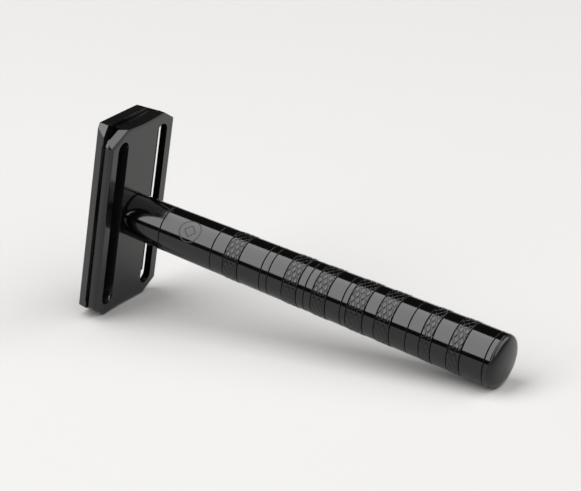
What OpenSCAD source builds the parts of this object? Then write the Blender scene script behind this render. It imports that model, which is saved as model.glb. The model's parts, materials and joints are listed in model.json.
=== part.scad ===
// Three-piece double-edge safety razor, stood on one end of its head with the handle's tail on the table.
// Head-and-handle frame: +X runs down the handle from the base plate's handle-side face,
// Y runs across the head and Z runs along it. rest_pose() then tips the razor onto the table.

/* [Base plate] */
// Length of the base plate along the blade's edges
base_len = 44.1; // [42:0.1:46]
// Width of the base plate across both guard rails
base_w = 23.8; // [23:0.1:25]
// Thickness of the guard rails
rail_t = 1.65; // [1.4:0.05:2]
// Height of the clamping spine from the handle-side face
spine_h = 3.6; // [3:0.1:4.5]
// Length of each open slot behind a guard rail
slot_len = 39; // [34:0.5:40]
// Width of each open slot
slot_w = 3.8; // [3:0.1:4]
// Radius of the rounded outer edge of a guard rail
rail_round = 0.9; // [0.3:0.1:1]

/* [Cap] */
// Length of the cap over its corners
cap_len = 45.8; // [44:0.1:47]
// Width of the cap's underside
cap_under_w = 20.9; // [20:0.1:21.4]
// Width of the cap's outer face
cap_outer_w = 19.3; // [17:0.1:20]
// Thickness of the cap at its middle
cap_t = 2.35; // [2:0.05:3.5]
// Radius that the clamping faces bend the blade to
clamp_r = 115; // [60:1:200]

/* [Blade] */
// Length of the double-edge blade
blade_len = 43; // [42:0.1:43.2]
// Width of the blade over its two edges
blade_w = 22; // [21.8:0.1:22]
// Thickness of the blade
blade_t = 0.1; // [0.1:0.01:0.12]

/* [Threaded post and pins] */
// Outside radius of the M5 threaded post
post_r = 2.5; // [2:0.1:2.5]
// Thread pitch of the post
pitch = 0.8; // [0.5:0.1:1]
// Reach of the post into the handle
post_reach = 6.8; // [5:0.1:8]
// Radius of the two locating pins
pin_r = 1.5; // [1:0.1:1.6]
// Distance of each pin from the post
pin_at = 15; // [12:0.5:16]
// Radial running clearance of the post and the pins
run_gap = 0.06; // [0.03:0.01:0.1]

/* [Handle] */
// Length of the handle shaft
handle_len = 91; // [80:1:110]
// Radius of the handle beside the head
neck_r = 4.9; // [4.5:0.05:5]
// Radius of the handle's plain tail
tail_r = 5.9; // [5.2:0.05:6.4]
// Depth of the turned ring grooves
groove_d = 0.18; // [0.05:0.01:0.3]
// Width of the turned ring grooves
groove_w = 0.3; // [0.2:0.05:0.5]
// Height of the grip bands above the shaft
band_h = 0.08; // [0:0.01:0.2]
// Radius of the drilled core
core_r = 3.3; // [2.5:0.1:3.4]
// Height of the domed end plug
dome_h = 2; // [1:0.1:4]

/* [Hidden] */
$fn = 96;
big = 60;                                    // larger than any head part, for cutting blocks
face_gap = 0.05;                             // gap between stacked parts that come apart

end_hollow = 0.35;                           // how far the short ends curve in at their middle
cap_corner = [1.35, 2.45];                   // short corner cut of the cap, across and along
cap_long_corner = [5.7, 2.5];                // long corner cut, on the other diagonal
// corner cuts: side across, end along, cut across and along, lean towards the handle side
base_cuts = [[-1, 1, [5.2, 2.6], 30], [1, 1, [4.2, 2.5], 0], [-1, -1, [4.2, 2.5], 0], [1, -1, [4.5, 2.6], 0]];
corner_ease = [1.7, 3];                      // smaller cut that eases each of these corners into the side
cap_cuts = [[-1, 1, cap_corner, 0], [1, -1, cap_corner, 0], [1, 1, cap_long_corner, -4],
            [-1, -1, cap_long_corner, -4]];
base_hollow_w = 6.6;                         // half width of the base plate's hollowed ends
end_bevel = 0.6;                             // width of the bevel around the base plate's ends
bevel_slope = 20;                            // angle between that bevel and the handle-side face
pad_w = 13.4;                                // width of the raised blade rest at each end
slot_y = 7.3;                                // distance of each slot's middle line from the post
spine_w = 2 * slot_y - slot_w;

cap_under_x = -spine_h - blade_t - 2 * face_gap;   // cap's underside at its middle
cap_outer_x = cap_under_x - cap_t;                 // cap's outer face at its middle
cap_crown = 0.55;                                  // how far the outer face falls to its long edges
cap_fit_d = 1.5;                                   // depth that the post and pins sit in the cap
pin_tip_x = -1;                                    // tips of the pins stop inside the spine

grooves = [9.7, 23.1, 35.7, 37.6, 46.8, 55.8, 71.7, 89.7];
bands = [[26.5, 30], [41.5, 44.9], [48.7, 52.1], [57.3, 61.2], [64.2, 67.7], [75, 77.5], [81.5, 84.3]];
tail_from = bands[len(bands) - 1][1];        // the shaft is a true cylinder from here to its end
insert_r = 3.75;
insert_x = [0.4, 10.4];
plug_shank = 9;                              // how far the end plug reaches into the shaft
plug_r = 5.85;
dome_steps = 16;
dome_power = 2.5;                            // above 2 the dome is flatter on top and rounder at its rim
// half profile of the domed end, from its rim to its tip
dome = [for (i = [0:dome_steps]) let (s = i / dome_steps)
        [handle_len + dome_h * s, plug_r * sqrt(1 - pow(s, dome_power))]];

// the razor stands on the cap's lower corners and on the shaft's tail
corner_y = cap_under_w / 2 - cap_corner[0];
corner_x = clamp_sag(corner_y) + cap_under_x;
tilt = atan((cap_len / 2 - tail_r) / (handle_len - corner_x));
floor_z = handle_len * sin(tilt) + tail_r * cos(tilt);
x_low = cap_outer_x * cos(tilt) - (cap_len / 2 - end_hollow) * sin(tilt);
x_high = max([for (p = dome) p[0] * cos(tilt) + p[1] * sin(tilt)]);

// fall of a clamping face from its middle to a line at distance y
function clamp_sag(y) = clamp_r - sqrt(clamp_r * clamp_r - y * y);
// shaft radius without grooves or bands
function shaft_r(x) = x > tail_from ? tail_r : neck_r + (tail_r - neck_r) * x / tail_from;
// profile points of one groove and of one band
function groove_pts(x) = [[x - groove_w / 2, shaft_r(x)], [x - groove_w / 4, shaft_r(x) - groove_d],
                          [x + groove_w / 4, shaft_r(x) - groove_d], [x + groove_w / 2, shaft_r(x)]];
function band_pts(b) = [[b[0], shaft_r(b[0])], [b[0] + band_h, shaft_r(b[0]) + band_h],
                        [b[1] - band_h, shaft_r(b[1]) + band_h], [b[1], shaft_r(b[1])]];

// tips the head-and-handle frame onto the table, with the origin under the middle of the razor
module rest_pose() {
    translate([-(x_low + x_high) / 2, 0, floor_z]) rotate([0, tilt, 0]) children();
}

// block whose lower face passes through point p, leaning a about X and t towards the handle
module cut_above(p, a, t) {
    translate(p) rotate([-a, 0, 0]) rotate([0, t, 0]) translate([-big, -big, 0]) cube(2 * big);
}

// one corner cut k of a plate, whose plane passes through its middle at x, half width w and half length l
module corner_cut(k, x, w, l, lean) {
    mirror([0, k[0] < 0 ? 1 : 0, 0]) mirror([0, 0, k[1] < 0 ? 1 : 0])
        cut_above([x, w - k[2][0] / 2, l - k[2][1] / 2], atan(k[2][1] / k[2][0]), lean);
}

// radius that hollows an end by end_hollow over a half width w
function hollow_r(w) = (w * w + end_hollow * end_hollow) / (2 * end_hollow);

// cylinders that hollow both short ends of a plate whose half length is l and end half width is w
module end_hollows(l, w) {
    for (s = [-1, 1])
        translate([0, 0, s * (l - end_hollow + hollow_r(w))]) rotate([0, 90, 0])
            cylinder(r = hollow_r(w), h = big, center = true, $fn = 360);
}

// shallow bevel around both short ends of the base plate, following the hollows and the corner cuts
module end_bevels(l, w) {
    depth = end_bevel * tan(bevel_slope);
    for (s = [-1, 1])
        translate([-depth, 0, s * (l - end_hollow + hollow_r(w))]) rotate([0, 90, 0])
            cylinder(r1 = hollow_r(w), r2 = hollow_r(w) + 2 * end_bevel, h = 2 * depth, $fn = 360);
    for (k = base_cuts) {
        turn = atan(k[2][1] / k[2][0]);
        inset = rail_t / 2 * tan(k[3]) + end_bevel;
        corner_cut(k, 0, base_w / 2 - inset * sin(turn), l - inset * cos(turn), 90 - bevel_slope);
    }
}

// cylinder along the handle axis from x0 to x1
module rod(r, x0, x1) {
    translate([x0, 0, 0]) rotate([0, 90, 0]) cylinder(r = r, h = x1 - x0);
}

// cross-section of the base plate's rails, X by Y
module rail_section() {
    half = base_w / 2;
    translate([-rail_t, -half + rail_round]) square([rail_t, base_w - 2 * rail_round]);
    translate([-rail_t, -half]) square([rail_t - rail_round, base_w]);
    for (s = [-1, 1]) translate([-rail_round, s * (half - rail_round)]) circle(r = rail_round);
}

module slot(s) {
    for (e = [-1, 1])
        translate([0, s * slot_y, e * (slot_len - slot_w) / 2]) rod(slot_w / 2, -big / 2, big / 2);
    translate([-big / 2, s * slot_y - slot_w / 2, -(slot_len - slot_w) / 2])
        cube([big, slot_w, slot_len - slot_w]);
}

// spine and end pads, topped by the clamping cylinder
module spine() {
    intersection() {
        union() {
            translate([-spine_h, -spine_w / 2, -base_len / 2]) cube([spine_h, spine_w, base_len]);
            for (s = [-1, 1]) {
                pad_l = (base_len - slot_len) / 2;
                translate([-spine_h, -pad_w / 2, s * (base_len - pad_l) / 2 - pad_l / 2])
                    cube([spine_h, pad_w, pad_l]);
            }
        }
        translate([clamp_r - spine_h, 0, 0]) cylinder(r = clamp_r, h = base_len, center = true, $fn = 720);
    }
}

module base_plate() {
    half_l = base_len / 2;
    color("#3a3834") rest_pose() difference() {
        union() {
            linear_extrude(base_len, center = true) rail_section();
            spine();
        }
        for (s = [-1, 1]) slot(s);
        end_hollows(half_l, base_hollow_w);
        for (k = base_cuts) {
            corner_cut(k, -rail_t / 2, base_w / 2, half_l, k[3]);
            corner_cut([k[0], k[1], corner_ease], -rail_t / 2, base_w / 2, half_l, k[3] / 2);
        }
        end_bevels(half_l, base_hollow_w);
        rod(post_r + run_gap, -big / 2, big / 2);
        for (s = [-1, 1])
            translate([0, 0, s * pin_at]) rod(pin_r + run_gap, -big / 2, pin_tip_x + 0.2);
    }
}

// cross-section of the cap before its curved faces are cut, X by Y
module cap_section() {
    under = cap_under_w / 2;
    outer = cap_outer_w / 2;
    under_x = cap_under_x + clamp_sag(under);
    polygon([[under_x, under], [under_x, -under], [cap_outer_x + cap_crown, -outer],
             [cap_outer_x - 1, -outer], [cap_outer_x - 1, outer], [cap_outer_x + cap_crown, outer]]);
}

module cap_plate() {
    crown_r = (pow(cap_outer_w / 2, 2) + cap_crown * cap_crown) / (2 * cap_crown);
    color("#2e2d2b") rest_pose() difference() {
        intersection() {
            linear_extrude(cap_len, center = true) cap_section();
            translate([cap_outer_x + crown_r, 0, 0])
                cylinder(r = crown_r, h = cap_len, center = true, $fn = 360);
        }
        translate([cap_under_x + clamp_r + blade_t, 0, 0])
            cylinder(r = clamp_r + blade_t, h = 2 * cap_len, center = true, $fn = 720);
        end_hollows(cap_len / 2, corner_y);
        for (k = cap_cuts) corner_cut(k, cap_outer_x, cap_under_w / 2, cap_len / 2, k[3]);
        rod(post_r, cap_under_x - cap_fit_d, 0);
        for (s = [-1, 1]) translate([0, 0, s * pin_at]) rod(pin_r, cap_under_x - cap_fit_d, 0);
    }
}

module cap_post() {
    lead = 0.5;
    color("silver") rest_pose() {
        rod(post_r, cap_under_x - cap_fit_d, post_reach - lead);
        translate([post_reach - lead, 0, 0]) rotate([0, 90, 0]) cylinder(r1 = post_r, r2 = post_r - lead, h = lead);
    }
}

module cap_pin(s) {
    lead = 0.3;
    color("silver") rest_pose() translate([0, 0, s * pin_at]) {
        rod(pin_r, cap_under_x - cap_fit_d, pin_tip_x - lead);
        translate([pin_tip_x - lead, 0, 0]) rotate([0, 90, 0]) cylinder(r1 = pin_r, r2 = pin_r - lead, h = lead);
    }
}

// outline of the blade, Y by Z: full width along the edges, narrower tabs at the ends
module blade_outline() {
    edge_len = 37.6;
    tab_w = 13.2;
    square([blade_w, edge_len], center = true);
    square([tab_w, blade_len], center = true);
}

// the opening along the blade's middle: a narrow slot, the post's hole and two pin holes
module blade_opening() {
    square([1.6, 34], center = true);
    square([4.4, 12], center = true);
    circle(r = 3);
    for (s = [-1, 1]) translate([0, s * pin_at]) circle(r = pin_r + 0.25);
}

module blade() {
    inner_r = clamp_r + face_gap;
    color("#8a8c90") rest_pose() intersection() {
        translate([clamp_r - spine_h, 0, 0]) difference() {
            cylinder(r = inner_r + blade_t, h = blade_len, center = true, $fn = 720);
            cylinder(r = inner_r, h = 2 * blade_len, center = true, $fn = 720);
        }
        translate([-spine_h - 1, 0, 0]) rotate([90, 0, 90]) linear_extrude(3) difference() {
            blade_outline();
            blade_opening();
        }
    }
}

module handle_shaft() {
    front = 0.35;
    marks = concat([for (x = grooves) if (x < bands[0][0]) groove_pts(x)], [band_pts(bands[0])],
                   [for (i = [1:len(bands) - 1])
                       each concat([for (x = grooves) if (x > bands[i - 1][1] && x < bands[i][0]) groove_pts(x)],
                                   [band_pts(bands[i])])],
                   [for (x = grooves) if (x > bands[len(bands) - 1][1]) groove_pts(x)]);
    outside = concat([[face_gap, neck_r - front], [face_gap + front, shaft_r(front)]], [for (m = marks) each m],
                     [[handle_len - 0.2, tail_r], [handle_len, tail_r - 0.2]]);
    bore = [[handle_len, core_r], [insert_x[1], core_r], [insert_x[1], insert_r], [insert_x[0], insert_r],
            [insert_x[0], post_r + 0.3], [face_gap, post_r + 0.3]];
    color("#1c1c1d") rest_pose() rotate([0, 90, 0]) rotate_extrude()
        polygon([for (p = concat(outside, bore)) [p[1], p[0]]]);
}

module thread_insert() {
    color("goldenrod") rest_pose() difference() {
        rod(insert_r, insert_x[0], insert_x[1]);
        rod(post_r + run_gap, -1, insert_x[1] + 1);
    }
}

module end_plug() {
    shank = [[handle_len - plug_shank, 0], [handle_len - plug_shank, core_r], [handle_len, core_r]];
    color("#262626") rest_pose() rotate([0, 90, 0]) rotate_extrude()
        polygon([for (p = concat(shank, dome)) [p[1], p[0]]]);
}

base_plate();
cap_plate();
cap_post();
cap_pin(1);  // cap_pin_1
cap_pin(-1);  // cap_pin_2
blade();
handle_shaft();
thread_insert();
end_plug();
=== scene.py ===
"""Looks of a three-piece safety razor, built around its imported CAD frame.

Points are worked out in the head-and-handle frame, in metres: X down the handle from the base plate's
handle-side face, Y across the head, Z along it. on_table() then moves them to where the razor stands.
"""

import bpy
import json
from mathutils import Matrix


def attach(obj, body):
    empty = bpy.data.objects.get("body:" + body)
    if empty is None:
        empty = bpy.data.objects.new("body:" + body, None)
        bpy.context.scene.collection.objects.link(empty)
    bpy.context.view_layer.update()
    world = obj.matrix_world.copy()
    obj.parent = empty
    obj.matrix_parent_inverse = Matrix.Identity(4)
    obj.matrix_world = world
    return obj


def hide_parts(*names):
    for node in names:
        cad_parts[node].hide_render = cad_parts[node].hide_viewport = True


bl_info = {
    "name": "Safety razor",
    "version": (1, 0, 0),
    "blender": (4, 5, 0),
    "location": "View3D > Sidebar > Razor",
    "description": "Builds a black double-edge safety razor around its CAD frame",
    "category": "Object",
}

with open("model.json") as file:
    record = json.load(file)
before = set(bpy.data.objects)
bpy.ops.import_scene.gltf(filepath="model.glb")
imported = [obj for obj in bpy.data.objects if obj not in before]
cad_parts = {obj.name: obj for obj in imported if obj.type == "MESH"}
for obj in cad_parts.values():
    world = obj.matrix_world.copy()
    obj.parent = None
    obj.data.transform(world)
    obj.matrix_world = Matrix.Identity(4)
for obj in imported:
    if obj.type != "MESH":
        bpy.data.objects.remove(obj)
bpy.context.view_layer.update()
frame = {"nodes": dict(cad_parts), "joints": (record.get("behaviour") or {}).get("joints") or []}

import json

import bmesh
import bpy
import numpy as np
from mathutils import Matrix, Vector

MM = 0.001

# ---------------------------------------------------------------- head-and-handle frame

TURN = next(j for j in frame["joints"] if j["name"] == "handle_turn")
ORIGIN = np.array(TURN["pos_m"])
DOWN_HANDLE = np.array(TURN["axis"])
ACROSS = np.array([0.0, 1.0, 0.0])
ALONG_HEAD = np.cross(DOWN_HANDLE, ACROSS)
AXES = np.stack([DOWN_HANDLE, ACROSS, ALONG_HEAD])


def on_table(points):
    """Head-and-handle points, in any array shape, moved to where the razor stands on the table."""
    return ORIGIN + points @ AXES


def cad_span(node):
    """Lowest and highest corner of a CAD node in the head-and-handle frame."""
    mesh = frame["nodes"][node].data
    co = np.empty(len(mesh.vertices) * 3)
    mesh.vertices.foreach_get("co", co)
    local = (co.reshape(-1, 3) - ORIGIN) @ AXES.T
    return local.min(0), local.max(0)


CAP_BACK = cad_span("cap_plate")[1][0]
POST_LOW, POST_HIGH = cad_span("cap_post")
SHAFT_LOW, SHAFT_HIGH = cad_span("handle_shaft")
INSERT_LOW, INSERT_HIGH = cad_span("thread_insert")
PLUG_LOW, PLUG_HIGH = cad_span("end_plug")

# ---------------------------------------------------------------- fixed sizes and mesh steps

# middle of each ring groove, and start and end of each grip band, down the handle
GROOVES = np.array([9.7, 23.1, 35.7, 37.6, 46.8, 55.8, 71.7, 89.7]) * MM
BANDS = np.array([[26.5, 30.0], [41.5, 44.9], [48.7, 52.1], [57.3, 61.2], [64.2, 67.7], [75.0, 77.5],
                  [81.5, 84.3]]) * MM
BAND_WALL = 0.5 * MM            # how deep a grip band's ring reaches into the shaft
KNURL_FADE = 0.15 * MM          # the knurling's cuts run out this far from each end of a band
CORE_RADIUS = 3.3 * MM          # drilled core of the shaft, which the end plug's shank fills
MOUTH_RADIUS = 2.8 * MM         # hole in the shaft's front face, ahead of the insert
BORE_RADIUS = 2.56 * MM         # bore of the insert
POST_NECK = 1.2 * MM            # plain length of the post between the cap and its thread
POST_LEAD = 0.5 * MM            # chamfer at the post's tip
PIN_EASE = 0.3 * MM             # rounding of a pin's tip
FRONT_EASE = 0.35 * MM          # rounding of the shaft's front edge
TAIL_EASE = 0.2 * MM            # rounding of the shaft's tail edge
THREAD_ROOT = 0.08              # shares of the thread's pitch that are flat, at its root and its crest
THREAD_CREST = 0.12
THREAD_START = 0.5 * MM         # the post's thread takes this far to reach its full depth behind the neck
THREAD_END = 0.3 * MM           # and this far to run out at a tip or a mouth
DOME_POWER = 2.5                # 2 would make the end plug's dome an ellipse; more makes it fuller
ORNAMENT_PLACE = 16.7 * MM      # middle of the etched ornament down the handle
ORNAMENT_TURN = np.radians(138)  # and round it
RING_RADIUS = 2.47 * MM
DIAMOND_REACH = 1.35 * MM       # from the middle of the etched diamond to each point
ETCH_WIDTH = 0.26 * MM
ETCH_LIFT = 0.012 * MM

HANDLE_COLUMNS = 256            # points round the handle
FITTING_COLUMNS = 72            # points round the post and the insert
PIN_COLUMNS = 48
SHAFT_ROWS = 60                 # rows of the plain shaft, besides those of its grooves
THREAD_ROWS = 330
BORE_ROWS = 300
DOME_ROWS = 40
BAND_STEP = 0.06 * MM           # rows of a grip band stand this far apart
ORNAMENT_POINTS = 96


def linear(hex_colour):
    """sRGB hex value to linear RGBA."""
    srgb = np.array([int(hex_colour[i:i + 2], 16) for i in (1, 3, 5)]) / 255
    rgb = np.where(srgb <= 0.04045, srgb / 12.92, ((srgb + 0.055) / 1.055) ** 2.4)
    return (*rgb.tolist(), 1.0)


# ---------------------------------------------------------------- settings

class RazorSizes(bpy.types.PropertyGroup):
    """Sizes that a user would change."""

    neck_radius: bpy.props.FloatProperty(
        name="Neck radius", description="Radius of the shaft beside the head",
        default=4.9 * MM, unit="LENGTH")
    tail_radius: bpy.props.FloatProperty(
        name="Tail radius", description="Radius of the shaft's plain tail",
        default=5.9 * MM, unit="LENGTH")
    groove_width: bpy.props.FloatProperty(
        name="Groove width", description="Width of a turned ring groove",
        default=0.3 * MM, unit="LENGTH")
    groove_depth: bpy.props.FloatProperty(
        name="Groove depth", description="Depth of a turned ring groove",
        default=0.18 * MM, unit="LENGTH")
    band_height: bpy.props.FloatProperty(
        name="Band height", description="How far a grip band stands above the shaft",
        default=0.08 * MM, unit="LENGTH")
    knurl_pitch: bpy.props.FloatProperty(
        name="Knurl pitch", description="Distance along the handle between two cuts of one hand",
        default=1.3 * MM, unit="LENGTH")
    knurl_starts: bpy.props.IntProperty(
        name="Knurl starts", description="Cuts of one hand counted around the handle", default=15)
    knurl_depth: bpy.props.FloatProperty(
        name="Knurl depth", description="Depth of a knurling cut", default=0.13 * MM, unit="LENGTH")
    knurl_width: bpy.props.FloatProperty(
        name="Knurl width", description="Width of a knurling cut along the handle",
        default=0.36 * MM, unit="LENGTH")
    thread_pitch: bpy.props.FloatProperty(
        name="Thread pitch", description="Pitch of the post's M5 thread", default=0.8 * MM, unit="LENGTH")
    thread_depth: bpy.props.FloatProperty(
        name="Thread depth", description="Depth of the post's M5 thread", default=0.45 * MM, unit="LENGTH")
    edge_break: bpy.props.FloatProperty(
        name="Edge break", description="Width of the small bevel on the head's edges",
        default=0.14 * MM, unit="LENGTH")


class RazorColours(bpy.types.PropertyGroup):
    """Finishes that a user would change."""

    head: bpy.props.FloatVectorProperty(
        name="Head", description="Satin black coat of the two head plates",
        subtype="COLOR", size=4, min=0.0, max=1.0, default=linear("#0a0a0a"))
    head_cloud: bpy.props.FloatVectorProperty(
        name="Head clouds", description="Faint lighter clouds in the head's coat",
        subtype="COLOR", size=4, min=0.0, max=1.0, default=linear("#0e0e0d"))
    shaft: bpy.props.FloatVectorProperty(
        name="Shaft", description="Gloss black coat of the handle",
        subtype="COLOR", size=4, min=0.0, max=1.0, default=linear("#040404"))
    # the handle's colour down in its grooves and knurling is painted darker: painted shade
    shaft_cuts: bpy.props.FloatVectorProperty(
        name="Shaft cuts", description="The handle's coat down in its grooves and knurling",
        subtype="COLOR", size=4, min=0.0, max=1.0, default=linear("#030303"))
    plug: bpy.props.FloatVectorProperty(
        name="End plug", description="Satin black coat of the end plug",
        subtype="COLOR", size=4, min=0.0, max=1.0, default=linear("#070707"))
    steel: bpy.props.FloatVectorProperty(
        name="Steel", description="Stainless steel of the post and pins",
        subtype="COLOR", size=4, min=0.0, max=1.0, default=linear("#b9b7b2"))
    # the blade's near-black colour is painted shade, standing for the dark gap between cap and base
    blade: bpy.props.FloatVectorProperty(
        name="Blade", description="Black-coated stainless strip of the blade",
        subtype="COLOR", size=4, min=0.0, max=1.0, default=linear("#1b1c1d"))
    blade_edge: bpy.props.FloatVectorProperty(
        name="Blade edges", description="The blade's two ground edges",
        subtype="COLOR", size=4, min=0.0, max=1.0, default=linear("#2a2b2c"))
    brass: bpy.props.FloatVectorProperty(
        name="Brass", description="Turned brass of the thread insert",
        subtype="COLOR", size=4, min=0.0, max=1.0, default=linear("#c8a45a"))
    etch: bpy.props.FloatVectorProperty(
        name="Etched ornament", description="Dull grey of the etched ornament",
        subtype="COLOR", size=4, min=0.0, max=1.0, default=linear("#1e1e1f"))
    table: bpy.props.FloatVectorProperty(
        name="Table", description="Matt white table",
        subtype="COLOR", size=4, min=0.0, max=1.0, default=linear("#aeadac"))
    room: bpy.props.FloatVectorProperty(
        name="Room", description="Warm white of the room's light",
        subtype="COLOR", size=4, min=0.0, max=1.0, default=linear("#fffaf2"))


class StudioSettings(bpy.types.PropertyGroup):
    """Table, camera and lights."""

    table_reach: bpy.props.FloatProperty(
        name="Table reach", description="From the razor to the table's near edge and to each side",
        default=1.2, unit="LENGTH")
    table_back: bpy.props.FloatProperty(
        name="Table back", description="From the razor to where the table starts to rise behind it",
        default=0.75, unit="LENGTH")
    table_bend: bpy.props.FloatProperty(
        name="Table bend", description="Radius of the bend where the table rises", default=0.1, unit="LENGTH")
    azimuth: bpy.props.FloatProperty(
        name="Azimuth", description="Turn of the view from +Y towards -X",
        default=np.radians(31.79), subtype="ANGLE")
    elevation: bpy.props.FloatProperty(
        name="Elevation", description="Height of the camera above the horizon",
        default=np.radians(20.93), subtype="ANGLE")
    roll: bpy.props.FloatProperty(
        name="Roll", description="Roll of the camera", default=np.radians(-1.22), subtype="ANGLE")
    distance: bpy.props.FloatProperty(
        name="Distance", description="From the camera to the point it looks at",
        default=526.6 * MM, unit="LENGTH")
    aim: bpy.props.FloatVectorProperty(
        name="Aim", description="Point the camera looks at",
        default=(-1.0 * MM, 0.0, 21.9 * MM), subtype="TRANSLATION", unit="LENGTH")
    lens: bpy.props.FloatProperty(
        name="Lens", description="Focal length on a 36 mm sensor", default=154.9, unit="CAMERA")
    panel_power: bpy.props.FloatProperty(
        name="Panel power", description="Power of the big soft panel", default=44.8, unit="POWER")
    panel_angle: bpy.props.FloatProperty(
        name="Panel angle", description="Turn of the panel round the handle from +Y",
        default=np.radians(118.5), subtype="ANGLE")
    panel_size: bpy.props.FloatVectorProperty(
        name="Panel size", description="Sides of the panel along and across the handle",
        size=2, default=(1.2, 2.25), unit="LENGTH")
    panel_shift: bpy.props.FloatProperty(
        name="Panel shift", description="Middle of the panel along the handle, from the razor's middle",
        default=-0.8, unit="LENGTH")
    fill_power: bpy.props.FloatProperty(
        name="Fill power", description="Power of the soft strip past the handle's tail",
        default=19.0, unit="POWER")
    fill_size: bpy.props.FloatVectorProperty(
        name="Fill size", description="Width and height of the soft strip, one metre away",
        size=2, default=(2.2, 0.7), unit="LENGTH")
    fill_direction: bpy.props.FloatVectorProperty(
        name="Fill direction", description="From the razor to the soft strip",
        default=(0.627, 0.113, 0.769), subtype="DIRECTION")
    room_light: bpy.props.FloatProperty(
        name="Room light", description="Strength of the dim room round the table", default=0.02)


# ---------------------------------------------------------------- mesh helpers

def finish_piece(obj, body, material, replaces=()):
    """Gives a piece its material, the body it rides on and the CAD nodes it stands for."""
    obj.data.materials.clear()
    obj.data.materials.append(material)
    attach(obj, body)
    if replaces:
        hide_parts(*replaces)


def grid_object(name, points, wrap_rows=False, attributes=None, sharp=35):
    """A mesh through a grid of head-and-handle points, shape (rows, columns, 3). Columns always close into
    a ring; rows close too where wrap_rows is set. Rows shrunk to a point are merged into a closed pole.
    Edges that turn by more than sharp, in degrees, stay sharp."""
    rows, columns = points.shape[:2]
    row, column = np.meshgrid(np.arange(rows if wrap_rows else rows - 1), np.arange(columns), indexing="ij")
    row_next, column_next = (row + 1) % rows, (column + 1) % columns
    faces = np.stack([row * columns + column, row_next * columns + column,
                      row_next * columns + column_next, row * columns + column_next], -1).reshape(-1, 4)
    mesh = bpy.data.meshes.new(name)
    mesh.vertices.add(rows * columns)
    mesh.vertices.foreach_set("co", on_table(points).astype(np.float32).ravel())
    mesh.loops.add(faces.size)
    mesh.loops.foreach_set("vertex_index", faces.astype(np.int32).ravel())
    mesh.polygons.add(len(faces))
    mesh.polygons.foreach_set("loop_start", np.arange(0, faces.size, 4, dtype=np.int32))
    for key, values in (attributes or {}).items():
        layer = mesh.attributes.new(key, "FLOAT", "POINT")
        layer.data.foreach_set("value", values.astype(np.float32).ravel())
    mesh.update(calc_edges=True)
    weld(mesh)
    mesh.polygons.foreach_set("use_smooth", np.ones(len(mesh.polygons), bool))
    mesh.set_sharp_from_angle(angle=np.radians(sharp))
    obj = bpy.data.objects.new(name, mesh)
    bpy.context.scene.collection.objects.link(obj)
    return obj


def weld(mesh, distance=1e-7):
    """Merges doubled points and turns every face outwards."""
    work = bmesh.new()
    work.from_mesh(mesh)
    bmesh.ops.remove_doubles(work, verts=work.verts, dist=distance)
    bmesh.ops.recalc_face_normals(work, faces=work.faces)
    work.to_mesh(mesh)
    work.free()


def around(x, columns):
    """The x and the angle of every point of a grid: one row at each x, columns evenly round a full turn."""
    return np.meshgrid(x, np.arange(columns) * 2 * np.pi / columns, indexing="ij")


def turned(profile, columns, height=0.0):
    """Surface of revolution about the handle's axis: profile is an array of (x, r), swept round a full turn,
    with height, a number or one value for each point of the grid, added to r."""
    x, phi = around(profile[:, 0], columns)
    r = profile[:, 1:] + height
    return np.stack([x, r * np.cos(phi), r * np.sin(phi)], -1)


def plain_rows(x, radius):
    """Profile rows at the given x, all at one radius."""
    return np.stack([x, np.full_like(x, radius)], -1)


def eased_corner(centre, radius, start, end, steps=6):
    """Points on a small arc, from angle start to angle end in degrees, in the (x, r) plane."""
    a = np.radians(np.linspace(start, end, steps))
    return np.stack([centre[0] + radius * np.cos(a), centre[1] + radius * np.sin(a)], -1)


# ---------------------------------------------------------------- materials

def add_node(tree, kind, inputs=None, **settings):
    """Adds one shader node. settings are its own properties; inputs maps a socket's name or number to a value,
    or to another node's output, which is linked."""
    made = tree.nodes.new(kind)
    for key, value in settings.items():
        setattr(made, key, value)
    for key, value in (inputs or {}).items():
        if isinstance(value, bpy.types.NodeSocket):
            tree.links.new(value, made.inputs[key])
        else:
            made.inputs[key].default_value = value
    return made


def new_material(name):
    """An empty node material and its tree."""
    material = bpy.data.materials.new(name)
    material.use_nodes = True
    material.node_tree.nodes.clear()
    return material, material.node_tree


def finish_material(tree, shader):
    """Links a shader to the material's output."""
    add_node(tree, "ShaderNodeOutputMaterial", {"Surface": shader.outputs[0]})


def shared(make, colours):
    """A material that several pieces wear, made for the first of them. Its function has the same name."""
    return bpy.data.materials.get(make.__name__) or make(colours)


def satin_black_coated_zinc(colours):
    """Die-cast zinc, tumbled and coated satin black: nearly black, with a soft sheen that goes bright at a
    grazing angle, and the faint cloudiness of a tumbled casting."""
    material, tree = new_material("satin_black_coated_zinc")
    where = add_node(tree, "ShaderNodeTexCoord")
    # clouds about 8 mm across
    cloud = add_node(tree, "ShaderNodeTexNoise", {
        "Vector": where.outputs["Object"], "Scale": 1 / (8 * MM), "Detail": 2.0})
    # tumbling marks about 0.12 mm across
    grain = add_node(tree, "ShaderNodeTexNoise", {
        "Vector": where.outputs["Object"], "Scale": 1 / (0.12 * MM), "Detail": 2.0})
    rough = add_node(tree, "ShaderNodeMapRange", {
        "Value": cloud.outputs["Fac"], "From Min": 0.3, "From Max": 0.7, "To Min": 0.13, "To Max": 0.17})
    tone = add_node(tree, "ShaderNodeValToRGB", {"Fac": cloud.outputs["Fac"]})
    dark, light = tone.color_ramp.elements
    dark.position, dark.color = 0.3, colours.head
    light.position, light.color = 0.7, colours.head_cloud
    bump = add_node(tree, "ShaderNodeBump", {
        "Height": grain.outputs["Fac"], "Strength": 0.03, "Distance": 0.01 * MM})
    shader = add_node(tree, "ShaderNodeBsdfPrincipled", {
        "Base Color": tone.outputs["Color"], "Roughness": rough.outputs["Result"],
        "Normal": bump.outputs["Normal"], "IOR": 1.5})
    finish_material(tree, shader)
    return material


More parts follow.
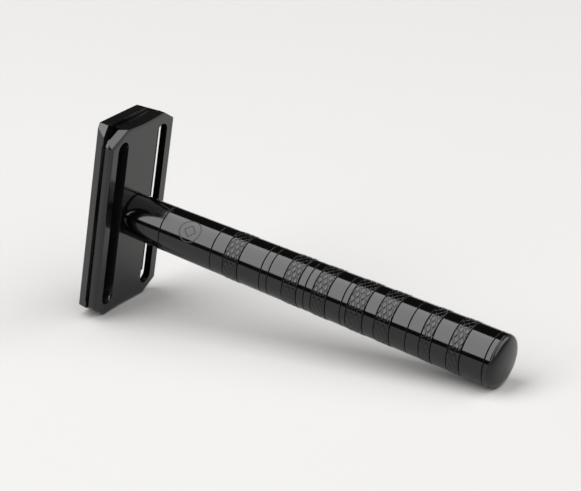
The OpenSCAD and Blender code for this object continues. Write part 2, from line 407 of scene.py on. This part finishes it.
def gloss_black_coated_brass(colours):
    """Turned brass under a polished gloss black coat: black, with mirror-like reflections, and rougher down in
    the cuts, where the polishing wheel doesn't reach; there its colour and its reflection are also painted
    darker, as painted shade. The recess attribute is 0 on the surface and 1 in a cut."""
    material, tree = new_material("gloss_black_coated_brass")
    where = add_node(tree, "ShaderNodeTexCoord")
    recess = add_node(tree, "ShaderNodeAttribute", attribute_name="recess")
    # traces of polishing about 9 mm across
    smear = add_node(tree, "ShaderNodeTexNoise", {
        "Vector": where.outputs["Object"], "Scale": 1 / (9 * MM), "Detail": 4.0})
    polished = add_node(tree, "ShaderNodeMapRange", {
        "Value": smear.outputs["Fac"], "From Min": 0.3, "From Max": 0.7, "To Min": 0.08, "To Max": 0.12})
    rough = add_node(tree, "ShaderNodeMix", {
        "Factor": recess.outputs["Fac"], "A": polished.outputs["Result"], "B": 0.45}, data_type="FLOAT")
    # painted shade: the coat's colour goes darker down in the cuts
    colour = add_node(tree, "ShaderNodeMix", {
        "Factor": recess.outputs["Fac"], 6: colours.shaft, 7: colours.shaft_cuts}, data_type="RGBA")
    # painted shade: the coat's reflection is turned down in the cuts, so that they read dark
    sheen = add_node(tree, "ShaderNodeMix", {
        "Factor": recess.outputs["Fac"], "A": 0.5, "B": 0.12}, data_type="FLOAT")
    shader = add_node(tree, "ShaderNodeBsdfPrincipled", {
        "Base Color": colour.outputs[2], "Roughness": rough.outputs[0], "IOR": 1.45,
        "Specular IOR Level": sheen.outputs[0]})
    finish_material(tree, shader)
    return material


def satin_black_coated_brass(colours):
    """Turned brass, blasted and coated satin black: a matt dome whose sheen is broad and soft, with the fine
    grain of the blasting."""
    material, tree = new_material("satin_black_coated_brass")
    where = add_node(tree, "ShaderNodeTexCoord")
    # blasting grit about 0.15 mm across
    blast = add_node(tree, "ShaderNodeTexNoise", {
        "Vector": where.outputs["Object"], "Scale": 1 / (0.15 * MM), "Detail": 2.0})
    bump = add_node(tree, "ShaderNodeBump", {
        "Height": blast.outputs["Fac"], "Strength": 0.08, "Distance": 0.02 * MM})
    cloud = add_node(tree, "ShaderNodeTexNoise", {"Vector": where.outputs["Object"], "Scale": 1 / (3 * MM)})
    rough = add_node(tree, "ShaderNodeMapRange", {
        "Value": cloud.outputs["Fac"], "From Min": 0.3, "From Max": 0.7, "To Min": 0.27, "To Max": 0.33})
    shader = add_node(tree, "ShaderNodeBsdfPrincipled", {
        "Base Color": colours.plug, "Roughness": rough.outputs["Result"],
        "Normal": bump.outputs["Normal"], "IOR": 1.45})
    finish_material(tree, shader)
    return material


def turned_metal(name, colour, roughness):
    """Bare metal off the lathe: bright, with fine tool lines around the axis, 0.06 mm apart, drawn as waves
    along the handle's direction."""
    material, tree = new_material(name)
    where = add_node(tree, "ShaderNodeTexCoord")
    turn = Matrix(AXES.tolist()).to_euler()
    level = add_node(tree, "ShaderNodeMapping", {"Vector": where.outputs["Object"], "Rotation": tuple(turn)})
    lines = add_node(tree, "ShaderNodeTexWave", {
        "Vector": level.outputs["Vector"], "Scale": 0.3 / (0.06 * MM), "Distortion": 0.4}, bands_direction="X")
    rough = add_node(tree, "ShaderNodeMapRange", {
        "Value": lines.outputs["Fac"], "To Min": roughness * 0.8, "To Max": roughness * 1.3})
    bump = add_node(tree, "ShaderNodeBump", {
        "Height": lines.outputs["Fac"], "Strength": 0.15, "Distance": 0.01 * MM})
    shader = add_node(tree, "ShaderNodeBsdfPrincipled", {
        "Base Color": colour, "Metallic": 1.0, "Roughness": rough.outputs["Result"],
        "Normal": bump.outputs["Normal"]})
    finish_material(tree, shader)
    return material


def stainless_strip_painted_as_shade(colours):
    """Hardened stainless strip, rolled and ground along its two edges, coloured near black as painted shade:
    the dark metal stands for the dark gap between cap and base, and the ground edges are a little duller and
    paler."""
    material, tree = new_material("stainless_strip_painted_as_shade")
    where = add_node(tree, "ShaderNodeTexCoord")
    place = add_node(tree, "ShaderNodeSeparateXYZ", {"Vector": where.outputs["Object"]})
    side = add_node(tree, "ShaderNodeMath", {0: place.outputs["Y"]}, operation="ABSOLUTE")
    # the ground edges start this far from the blade's middle
    ground = add_node(tree, "ShaderNodeMapRange", {
        "Value": side.outputs[0], "From Min": 10.1 * MM, "From Max": 10.2 * MM})
    grain = add_node(tree, "ShaderNodeTexNoise", {
        "Vector": where.outputs["Object"], "Scale": 1 / (0.4 * MM), "Detail": 2.0})
    rolled = add_node(tree, "ShaderNodeMapRange", {
        "Value": grain.outputs["Fac"], "To Min": 0.2, "To Max": 0.34})
    rough = add_node(tree, "ShaderNodeMix", {
        "Factor": ground.outputs["Result"], "A": rolled.outputs["Result"], "B": 0.38}, data_type="FLOAT")
    # painted shade: the strip's near-black colour, with paler ground edges
    colour = add_node(tree, "ShaderNodeMix", {
        "Factor": ground.outputs["Result"], 6: colours.blade, 7: colours.blade_edge}, data_type="RGBA")
    shader = add_node(tree, "ShaderNodeBsdfPrincipled", {
        "Base Color": colour.outputs[2], "Metallic": 1.0, "Roughness": rough.outputs[0]})
    finish_material(tree, shader)
    return material


def laser_etched_coat(colours):
    """Laser-etched coat: a dull grey line, with the fine speckle of the laser's spots."""
    material, tree = new_material("laser_etched_coat")
    where = add_node(tree, "ShaderNodeTexCoord")
    spots = add_node(tree, "ShaderNodeTexNoise", {"Vector": where.outputs["Object"], "Scale": 1 / (0.1 * MM)})
    rough = add_node(tree, "ShaderNodeMapRange", {"Value": spots.outputs["Fac"], "To Min": 0.55, "To Max": 0.7})
    shader = add_node(tree, "ShaderNodeBsdfPrincipled", {
        "Base Color": colours.etch, "Roughness": rough.outputs["Result"]})
    finish_material(tree, shader)
    return material


def matt_white_board(colours):
    """Matt white painted board: bright and even, with barely any sheen."""
    material, tree = new_material("matt_white_board")
    where = add_node(tree, "ShaderNodeTexCoord")
    cloud = add_node(tree, "ShaderNodeTexNoise", {
        "Vector": where.outputs["Object"], "Scale": 1 / (120 * MM), "Detail": 3.0})
    rough = add_node(tree, "ShaderNodeMapRange", {"Value": cloud.outputs["Fac"], "To Min": 0.7, "To Max": 0.8})
    shader = add_node(tree, "ShaderNodeBsdfPrincipled", {
        "Base Color": colours.table, "Roughness": rough.outputs["Result"], "IOR": 1.4})
    finish_material(tree, shader)
    return material


# ---------------------------------------------------------------- head

def plate_with_eased_edges(name, node, width):
    """The CAD plate's own surface, with its flat faces joined up and every edge that turns by more than 22
    degrees broken by a small bevel, so that the edges catch the light as a coated casting's do."""
    mesh = frame["nodes"][node].data.copy()
    work = bmesh.new()
    work.from_mesh(mesh)
    bmesh.ops.remove_doubles(work, verts=work.verts, dist=1e-6)
    bmesh.ops.dissolve_limit(work, angle_limit=np.radians(0.4), verts=work.verts, edges=work.edges)
    work.to_mesh(mesh)
    work.free()
    mesh.polygons.foreach_set("use_smooth", np.ones(len(mesh.polygons), bool))
    obj = bpy.data.objects.new(name, mesh)
    bpy.context.scene.collection.objects.link(obj)
    bevel = obj.modifiers.new("edge_break", "BEVEL")
    bevel.limit_method = "ANGLE"
    bevel.angle_limit = np.radians(22)
    bevel.width = width
    bevel.segments = 2
    obj.modifiers.new("flat_faces", "WEIGHTED_NORMAL")
    return obj


class RAZOR_OT_base_plate(bpy.types.Operator):
    """Base plate with its two slots and rounded guard rails"""

    bl_idname = "razor.base_plate"
    bl_label = "Base plate"

    def execute(self, context):
        scene = context.scene
        obj = plate_with_eased_edges("base_plate_coated", "base_plate", scene.razor_sizes.edge_break)
        coat = shared(satin_black_coated_zinc, scene.razor_colours)
        finish_piece(obj, "base", coat, ["base_plate"])
        return {"FINISHED"}


class RAZOR_OT_cap_plate(bpy.types.Operator):
    """Cap plate that clamps the blade"""

    bl_idname = "razor.cap_plate"
    bl_label = "Cap plate"

    def execute(self, context):
        scene = context.scene
        obj = plate_with_eased_edges("cap_plate_coated", "cap_plate", scene.razor_sizes.edge_break)
        coat = shared(satin_black_coated_zinc, scene.razor_colours)
        finish_piece(obj, "cap", coat, ["cap_plate"])
        return {"FINISHED"}


def thread_fall(x, phi, sizes):
    """How far an M thread lies below its crest: a V with a flat root and a flat crest once a pitch, its phase
    moved on by one pitch for each turn round the axis."""
    phase = (x / sizes.thread_pitch - phi / (2 * np.pi)) % 1.0
    from_root = np.abs(phase - 0.5) * 2
    climb = np.clip((from_root - THREAD_ROOT) / (1 - THREAD_ROOT - THREAD_CREST), 0, 1)
    return sizes.thread_depth * (1 - climb)


class RAZOR_OT_cap_post(bpy.types.Operator):
    """Threaded post and the two locating pins of the cap"""

    bl_idname = "razor.cap_post"
    bl_label = "Post and pins"

    def execute(self, context):
        sizes = context.scene.razor_sizes
        steel = turned_metal("turned_stainless_steel", context.scene.razor_colours.steel, 0.2)
        radius = POST_HIGH[1]
        start, tip = CAP_BACK + POST_NECK, POST_HIGH[0]
        end = tip - POST_LEAD
        rows = np.concatenate([[start - 0.1 * MM], np.linspace(start, end, THREAD_ROWS)])
        profile = np.concatenate([[[POST_LOW[0], 0.0], [POST_LOW[0], radius]], plain_rows(rows, radius),
                                  [[tip, radius - POST_LEAD], [tip, 0.0]]])
        x, phi = around(profile[:, 0], FITTING_COLUMNS)
        fade = np.clip((x - start) / THREAD_START, 0, 1) * np.clip((end - x) / THREAD_END, 0, 1)
        points = turned(profile, FITTING_COLUMNS, -thread_fall(x, phi, sizes) * fade)
        finish_piece(grid_object("cap_post_threaded", points), "cap", steel, ["cap_post"])
        for node in ("cap_pin_1", "cap_pin_2"):
            low, high = cad_span(node)
            r, tip = high[1], high[0]
            profile = np.concatenate([
                [[low[0], 0.0], [low[0], r], [tip - PIN_EASE, r]],
                eased_corner((tip - PIN_EASE, r - PIN_EASE), PIN_EASE, 90, 0), [[tip, 0.0]]])
            points = turned(profile, PIN_COLUMNS) + np.array([0.0, 0.0, (low[2] + high[2]) / 2])
            finish_piece(grid_object(node + "_turned", points), "cap", steel, [node])
        return {"FINISHED"}


class RAZOR_OT_blade(bpy.types.Operator):
    """Double-edge blade, which keeps its CAD shape"""

    bl_idname = "razor.blade"
    bl_label = "Blade"

    def execute(self, context):
        blade = frame["nodes"]["blade"]
        blade.data.materials.clear()
        blade.data.materials.append(stainless_strip_painted_as_shade(context.scene.razor_colours))
        return {"FINISHED"}


# ---------------------------------------------------------------- handle

def shaft_radius(x, sizes):
    """Plain shaft: a cone from the neck to the last band, and a cylinder from there to the tail."""
    share = np.clip(x / BANDS[-1, 1], 0, 1)
    return sizes.neck_radius + (sizes.tail_radius - sizes.neck_radius) * share


def ring_cut(x, centres, width):
    """0 on the plain shaft and 1 at the bottom of a ring groove: one raised cosine per groove."""
    gap = np.abs(x[..., None] - centres).min(-1) / (width / 2)
    return np.where(gap < 1, 0.5 + 0.5 * np.cos(np.pi * np.clip(gap, 0, 1)), 0.0)


class RAZOR_OT_handle_shaft(bpy.types.Operator):
    """Handle shaft with its turned ring grooves"""

    bl_idname = "razor.handle_shaft"
    bl_label = "Handle shaft"

    def execute(self, context):
        sizes = context.scene.razor_sizes
        front, back = SHAFT_LOW[0], SHAFT_HIGH[0]
        first, last = front + FRONT_EASE, back - TAIL_EASE
        half = sizes.groove_width / 2
        # a fine ring runs round either end of each grip band
        rings = np.concatenate([GROOVES, BANDS[:, 0] - half * 0.6, BANDS[:, 1] + half * 0.6])
        near_ring = np.concatenate([[-half * 1.2], np.linspace(-half, half, 9), [half * 1.2]])
        rows = np.unique(np.concatenate([
            np.linspace(first, last, SHAFT_ROWS), (rings[:, None] + near_ring).ravel()]))
        rows = rows[(rows >= first) & (rows <= last)]
        cut = ring_cut(rows, rings, sizes.groove_width)
        outside = np.stack([rows, shaft_radius(rows, sizes) - sizes.groove_depth * cut], -1)
        nose = eased_corner((first, outside[0, 1] - FRONT_EASE), FRONT_EASE, 180, 95)
        tail = eased_corner((last, outside[-1, 1] - TAIL_EASE), TAIL_EASE, 85, 0)
        insert_start, insert_end, insert_radius = INSERT_LOW[0], INSERT_HIGH[0], INSERT_HIGH[1]
        inside = [[back, CORE_RADIUS], [insert_end, CORE_RADIUS], [insert_end, insert_radius],
                  [insert_start, insert_radius], [insert_start, MOUTH_RADIUS], [front, MOUTH_RADIUS]]
        profile = np.concatenate([nose, outside, tail, inside])
        # the recess attribute also paints shade into the grooves: a darker colour and a weaker reflection
        recess = np.zeros(len(profile))
        recess[len(nose):len(nose) + len(rows)] = cut
        obj = grid_object("handle_shaft_turned", turned(profile, HANDLE_COLUMNS), wrap_rows=True,
                          attributes={"recess": np.repeat(recess, HANDLE_COLUMNS)})
        coat = shared(gloss_black_coated_brass, context.scene.razor_colours)
        finish_piece(obj, "handle", coat, ["handle_shaft"])
        return {"FINISHED"}


def knurl_cuts(x, phi, sizes):
    """0 on a diamond and 1 at the bottom of a cut: two families of helical V cuts, one of each hand."""
    turns = sizes.knurl_starts * phi / (2 * np.pi)
    along = x / sizes.knurl_pitch
    from_cut = 0.5 - np.maximum(*[np.abs((along + hand * turns) % 1.0 - 0.5) for hand in (1, -1)])
    return np.clip(1 - from_cut * sizes.knurl_pitch / (sizes.knurl_width / 2), 0, 1)


class RAZOR_OT_grip_bands(bpy.types.Operator):
    """The seven diamond-cut grip bands"""

    bl_idname = "razor.grip_bands"
    bl_label = "Grip bands"

    def execute(self, context):
        sizes = context.scene.razor_sizes
        coat = shared(gloss_black_coated_brass, context.scene.razor_colours)
        for number, (start, end) in enumerate(BANDS, 1):
            rows = np.linspace(start, end, int((end - start) / BAND_STEP))
            from_end = np.minimum(rows - start, end - rows)
            # the band stands proud of the shaft, with a 45 degree chamfer at each end
            outer = shaft_radius(rows, sizes) + np.clip(from_end, 0, sizes.band_height)
            profile = np.concatenate([np.stack([rows, outer], -1),
                                      [[end, outer[-1] - BAND_WALL], [start, outer[0] - BAND_WALL]]])
            x, phi = around(profile[:, 0], HANDLE_COLUMNS)
            # recess also paints shade into the knurling cuts: a darker colour and a weaker reflection
            recess = knurl_cuts(x, phi, sizes)
            recess[:-2] *= np.clip(from_end / KNURL_FADE, 0, 1)[:, None]
            recess[-2:] = 0
            points = turned(profile, HANDLE_COLUMNS, -sizes.knurl_depth * recess)
            obj = grid_object(f"grip_band_{number}", points, wrap_rows=True, attributes={"recess": recess},
                              sharp=60)
            finish_piece(obj, "handle", coat)
        return {"FINISHED"}


def ribbon_on_shaft(path, width, sizes, lift):
    """A thin closed strip lying on the shaft: path is a closed loop of (x, arc length) points, widened to both
    sides by half the width across its own direction, and wrapped round the shaft at the given lift."""
    ahead = np.roll(path, -1, 0) - np.roll(path, 1, 0)
    ahead /= np.linalg.norm(ahead, axis=1, keepdims=True)
    sideways = np.stack([-ahead[:, 1], ahead[:, 0]], -1) * width / 2
    flat = np.stack([path - sideways, path - sideways, path + sideways, path + sideways], 0)
    height = np.array([-lift, lift, lift, -lift])[:, None]
    radius = shaft_radius(flat[..., 0], sizes)
    phi = flat[..., 1] / radius
    r = radius + height
    return np.stack([flat[..., 0], r * np.cos(phi), r * np.sin(phi)], -1)


class RAZOR_OT_etched_ring(bpy.types.Operator):
    """Plain etched ring with a diamond in it, a generic ornament"""

    bl_idname = "razor.etched_ring"
    bl_label = "Etched ring"

    def execute(self, context):
        sizes = context.scene.razor_sizes
        grey = laser_etched_coat(context.scene.razor_colours)
        centre = np.array([ORNAMENT_PLACE, ORNAMENT_TURN * shaft_radius(ORNAMENT_PLACE, sizes)])
        a = np.arange(ORNAMENT_POINTS) * 2 * np.pi / ORNAMENT_POINTS
        circle = np.stack([np.cos(a), np.sin(a)], -1)
        # a circle divided by |x| + |y| is a square on its point
        diamond = circle / np.abs(circle).sum(1, keepdims=True)
        for name, loop in (("etched_ring", circle * RING_RADIUS), ("etched_diamond", diamond * DIAMOND_REACH)):
            points = ribbon_on_shaft(centre + loop, ETCH_WIDTH, sizes, ETCH_LIFT)
            obj = grid_object(name, points, wrap_rows=True, sharp=40)
            finish_piece(obj, "handle", grey)
        return {"FINISHED"}


class RAZOR_OT_thread_insert(bpy.types.Operator):
    """Brass insert with the handle's internal thread"""

    bl_idname = "razor.thread_insert"
    bl_label = "Thread insert"

    def execute(self, context):
        sizes = context.scene.razor_sizes
        low, high, radius = INSERT_LOW[0], INSERT_HIGH[0], INSERT_HIGH[1]
        outside = [[low, BORE_RADIUS], [low, radius], [high, radius]]
        profile = np.concatenate([outside, plain_rows(np.linspace(high, low, BORE_ROWS), BORE_RADIUS)])
        x, phi = around(profile[:, 0], FITTING_COLUMNS)
        # the thread is cut outwards from the bore and fades out at both mouths
        fall = thread_fall(x, phi, sizes) * np.clip(np.minimum(x - low, high - x) / THREAD_END, 0, 1)
        fall[:len(outside)] = 0
        obj = grid_object("thread_insert_turned", turned(profile, FITTING_COLUMNS, fall), wrap_rows=True)
        brass = turned_metal("turned_brass", context.scene.razor_colours.brass, 0.24)
        finish_piece(obj, "handle", brass, ["thread_insert"])
        return {"FINISHED"}


class RAZOR_OT_end_plug(bpy.types.Operator):
    """Domed end plug of the handle"""

    bl_idname = "razor.end_plug"
    bl_label = "End plug"

    def execute(self, context):
        shoulder = SHAFT_HIGH[0]
        radius, tip = PLUG_HIGH[1], PLUG_HIGH[0]
        # up the dome the radius falls as the square root of 1 less the share of the rise to DOME_POWER
        rise = np.sin(np.linspace(0, np.pi / 2, DOME_ROWS))
        dome = np.stack([shoulder + (tip - shoulder) * rise, radius * np.sqrt(1 - rise ** DOME_POWER)], -1)
        shank = [[PLUG_LOW[0], 0.0], [PLUG_LOW[0], CORE_RADIUS], [shoulder, CORE_RADIUS]]
        profile = np.concatenate([shank, dome])
        obj = grid_object("end_plug_domed", turned(profile, HANDLE_COLUMNS))
        coat = satin_black_coated_brass(context.scene.razor_colours)
        finish_piece(obj, "handle", coat, ["end_plug"])
        return {"FINISHED"}


# ---------------------------------------------------------------- stage

class RAZOR_OT_stage(bpy.types.Operator):
    """Table, lights and camera"""

    bl_idname = "razor.stage"
    bl_label = "Stage"

    def execute(self, context):
        scene, studio = context.scene, context.scene.razor_studio
        self.table(scene, studio)
        self.lights(scene, studio)
        self.camera(scene, studio)
        return {"FINISHED"}

    def table(self, scene, studio):
        """A table that runs from its near edge to a backdrop behind the razor, where it goes round a quarter
        circle to stand upright."""
        reach, bend = studio.table_reach, studio.table_bend
        a = np.linspace(0, np.pi / 2, 16)
        y = np.concatenate([[-reach], studio.table_back + bend * np.sin(a)])
        z = np.concatenate([[0.0], bend * (1 - np.cos(a))])
        points = np.stack([np.stack([np.full_like(y, x), y, z], -1) for x in (-reach, reach)])
        strip = np.arange(len(y) - 1)
        faces = np.stack([strip, strip + len(y), strip + len(y) + 1, strip + 1], -1)
        mesh = bpy.data.meshes.new("table")
        mesh.from_pydata(points.reshape(-1, 3).tolist(), [], faces.tolist())
        mesh.polygons.foreach_set("use_smooth", np.ones(len(faces), bool))
        mesh.materials.append(matt_white_board(scene.razor_colours))
        table = bpy.data.objects.new("table", mesh)
        scene.collection.objects.link(table)

    def area_light(self, scene, name, sides, power, place):
        """A rectangular light whose back is its own +Z, at a 4 x 4 matrix."""
        light = bpy.data.lights.new(name, "AREA")
        light.shape = "RECTANGLE"
        light.size, light.size_y = sides
        light.energy = power
        lamp = bpy.data.objects.new(name, light)
        lamp.matrix_world = place
        scene.collection.objects.link(lamp)

    def lights(self, scene, studio):
        """One big soft panel, parallel to the handle, over the razor's near side, a wide soft strip above the
        handle's tail, which the head's corner cuts mirror, and a dim room. Panel and strip are 1 m away."""
        outward = np.cos(studio.panel_angle) * ACROSS + np.sin(studio.panel_angle) * ALONG_HEAD
        razor_middle = np.array([0.0, 0.0, 14 * MM])
        place = np.eye(4)
        place[:3] = np.stack([DOWN_HANDLE, np.cross(outward, DOWN_HANDLE), outward,
                              razor_middle + outward + DOWN_HANDLE * studio.panel_shift], -1)
        self.area_light(scene, "soft_panel", studio.panel_size, studio.panel_power, Matrix(place.tolist()))
        toward = Vector(studio.fill_direction).normalized()
        place = Matrix.Translation(toward) @ toward.to_track_quat("Z", "Y").to_matrix().to_4x4()
        self.area_light(scene, "soft_fill", studio.fill_size, studio.fill_power, place)
        world = bpy.data.worlds.new("room")
        world.use_nodes = True
        background = world.node_tree.nodes["Background"]
        background.inputs["Color"].default_value = scene.razor_colours.room
        background.inputs["Strength"].default_value = studio.room_light
        scene.world = world
        scene.view_settings.view_transform = "Standard"

    def camera(self, scene, studio):
        """A long lens at the given azimuth, elevation and distance from the point it looks at."""
        az, el = studio.azimuth, studio.elevation
        forward = Vector((-np.sin(az) * np.cos(el), np.cos(az) * np.cos(el), -np.sin(el)))
        data = bpy.data.cameras.new("camera")
        data.sensor_width = 36.0
        data.lens = studio.lens
        data.clip_start, data.clip_end = 0.01, 20.0
        camera = bpy.data.objects.new("camera", data)
        stand = Matrix.Translation(Vector(studio.aim) - forward * studio.distance)
        level = (-forward).to_track_quat("Z", "Y").to_matrix().to_4x4()
        camera.matrix_world = stand @ level @ Matrix.Rotation(studio.roll, 4, "Z")
        scene.collection.objects.link(camera)
        scene.camera = camera


# ---------------------------------------------------------------- add-on

GROUPS = (("razor_sizes", RazorSizes), ("razor_colours", RazorColours), ("razor_studio", StudioSettings))
OPERATORS = (RAZOR_OT_base_plate, RAZOR_OT_cap_plate, RAZOR_OT_cap_post, RAZOR_OT_blade,
             RAZOR_OT_handle_shaft, RAZOR_OT_grip_bands, RAZOR_OT_etched_ring, RAZOR_OT_thread_insert,
             RAZOR_OT_end_plug, RAZOR_OT_stage)


class RAZOR_PT_panel(bpy.types.Panel):
    """Lists the razor's pieces"""

    bl_idname = "RAZOR_PT_panel"
    bl_label = "Safety razor"
    bl_space_type = "VIEW_3D"
    bl_region_type = "UI"
    bl_category = "Razor"

    def draw(self, context):
        column = self.layout.column()
        for operator in OPERATORS:
            column.operator(operator.bl_idname)
        for name, group in GROUPS:
            for key in group.__annotations__:
                column.prop(getattr(context.scene, name), key)


def register():
    for name, group in GROUPS:
        bpy.utils.register_class(group)
        setattr(bpy.types.Scene, name, bpy.props.PointerProperty(type=group))
    for operator in OPERATORS:
        bpy.utils.register_class(operator)
    bpy.utils.register_class(RAZOR_PT_panel)


def unregister():
    bpy.utils.unregister_class(RAZOR_PT_panel)
    for operator in reversed(OPERATORS):
        bpy.utils.unregister_class(operator)
    for name, group in reversed(GROUPS):
        delattr(bpy.types.Scene, name)
        bpy.utils.unregister_class(group)


def main():
    """Builds every piece in order."""
    register()
    for operator in OPERATORS:
        group, action = operator.bl_idname.split(".")
        getattr(getattr(bpy.ops, group), action)()
    bpy.context.view_layer.update()


if __name__ == "__main__":
    main()
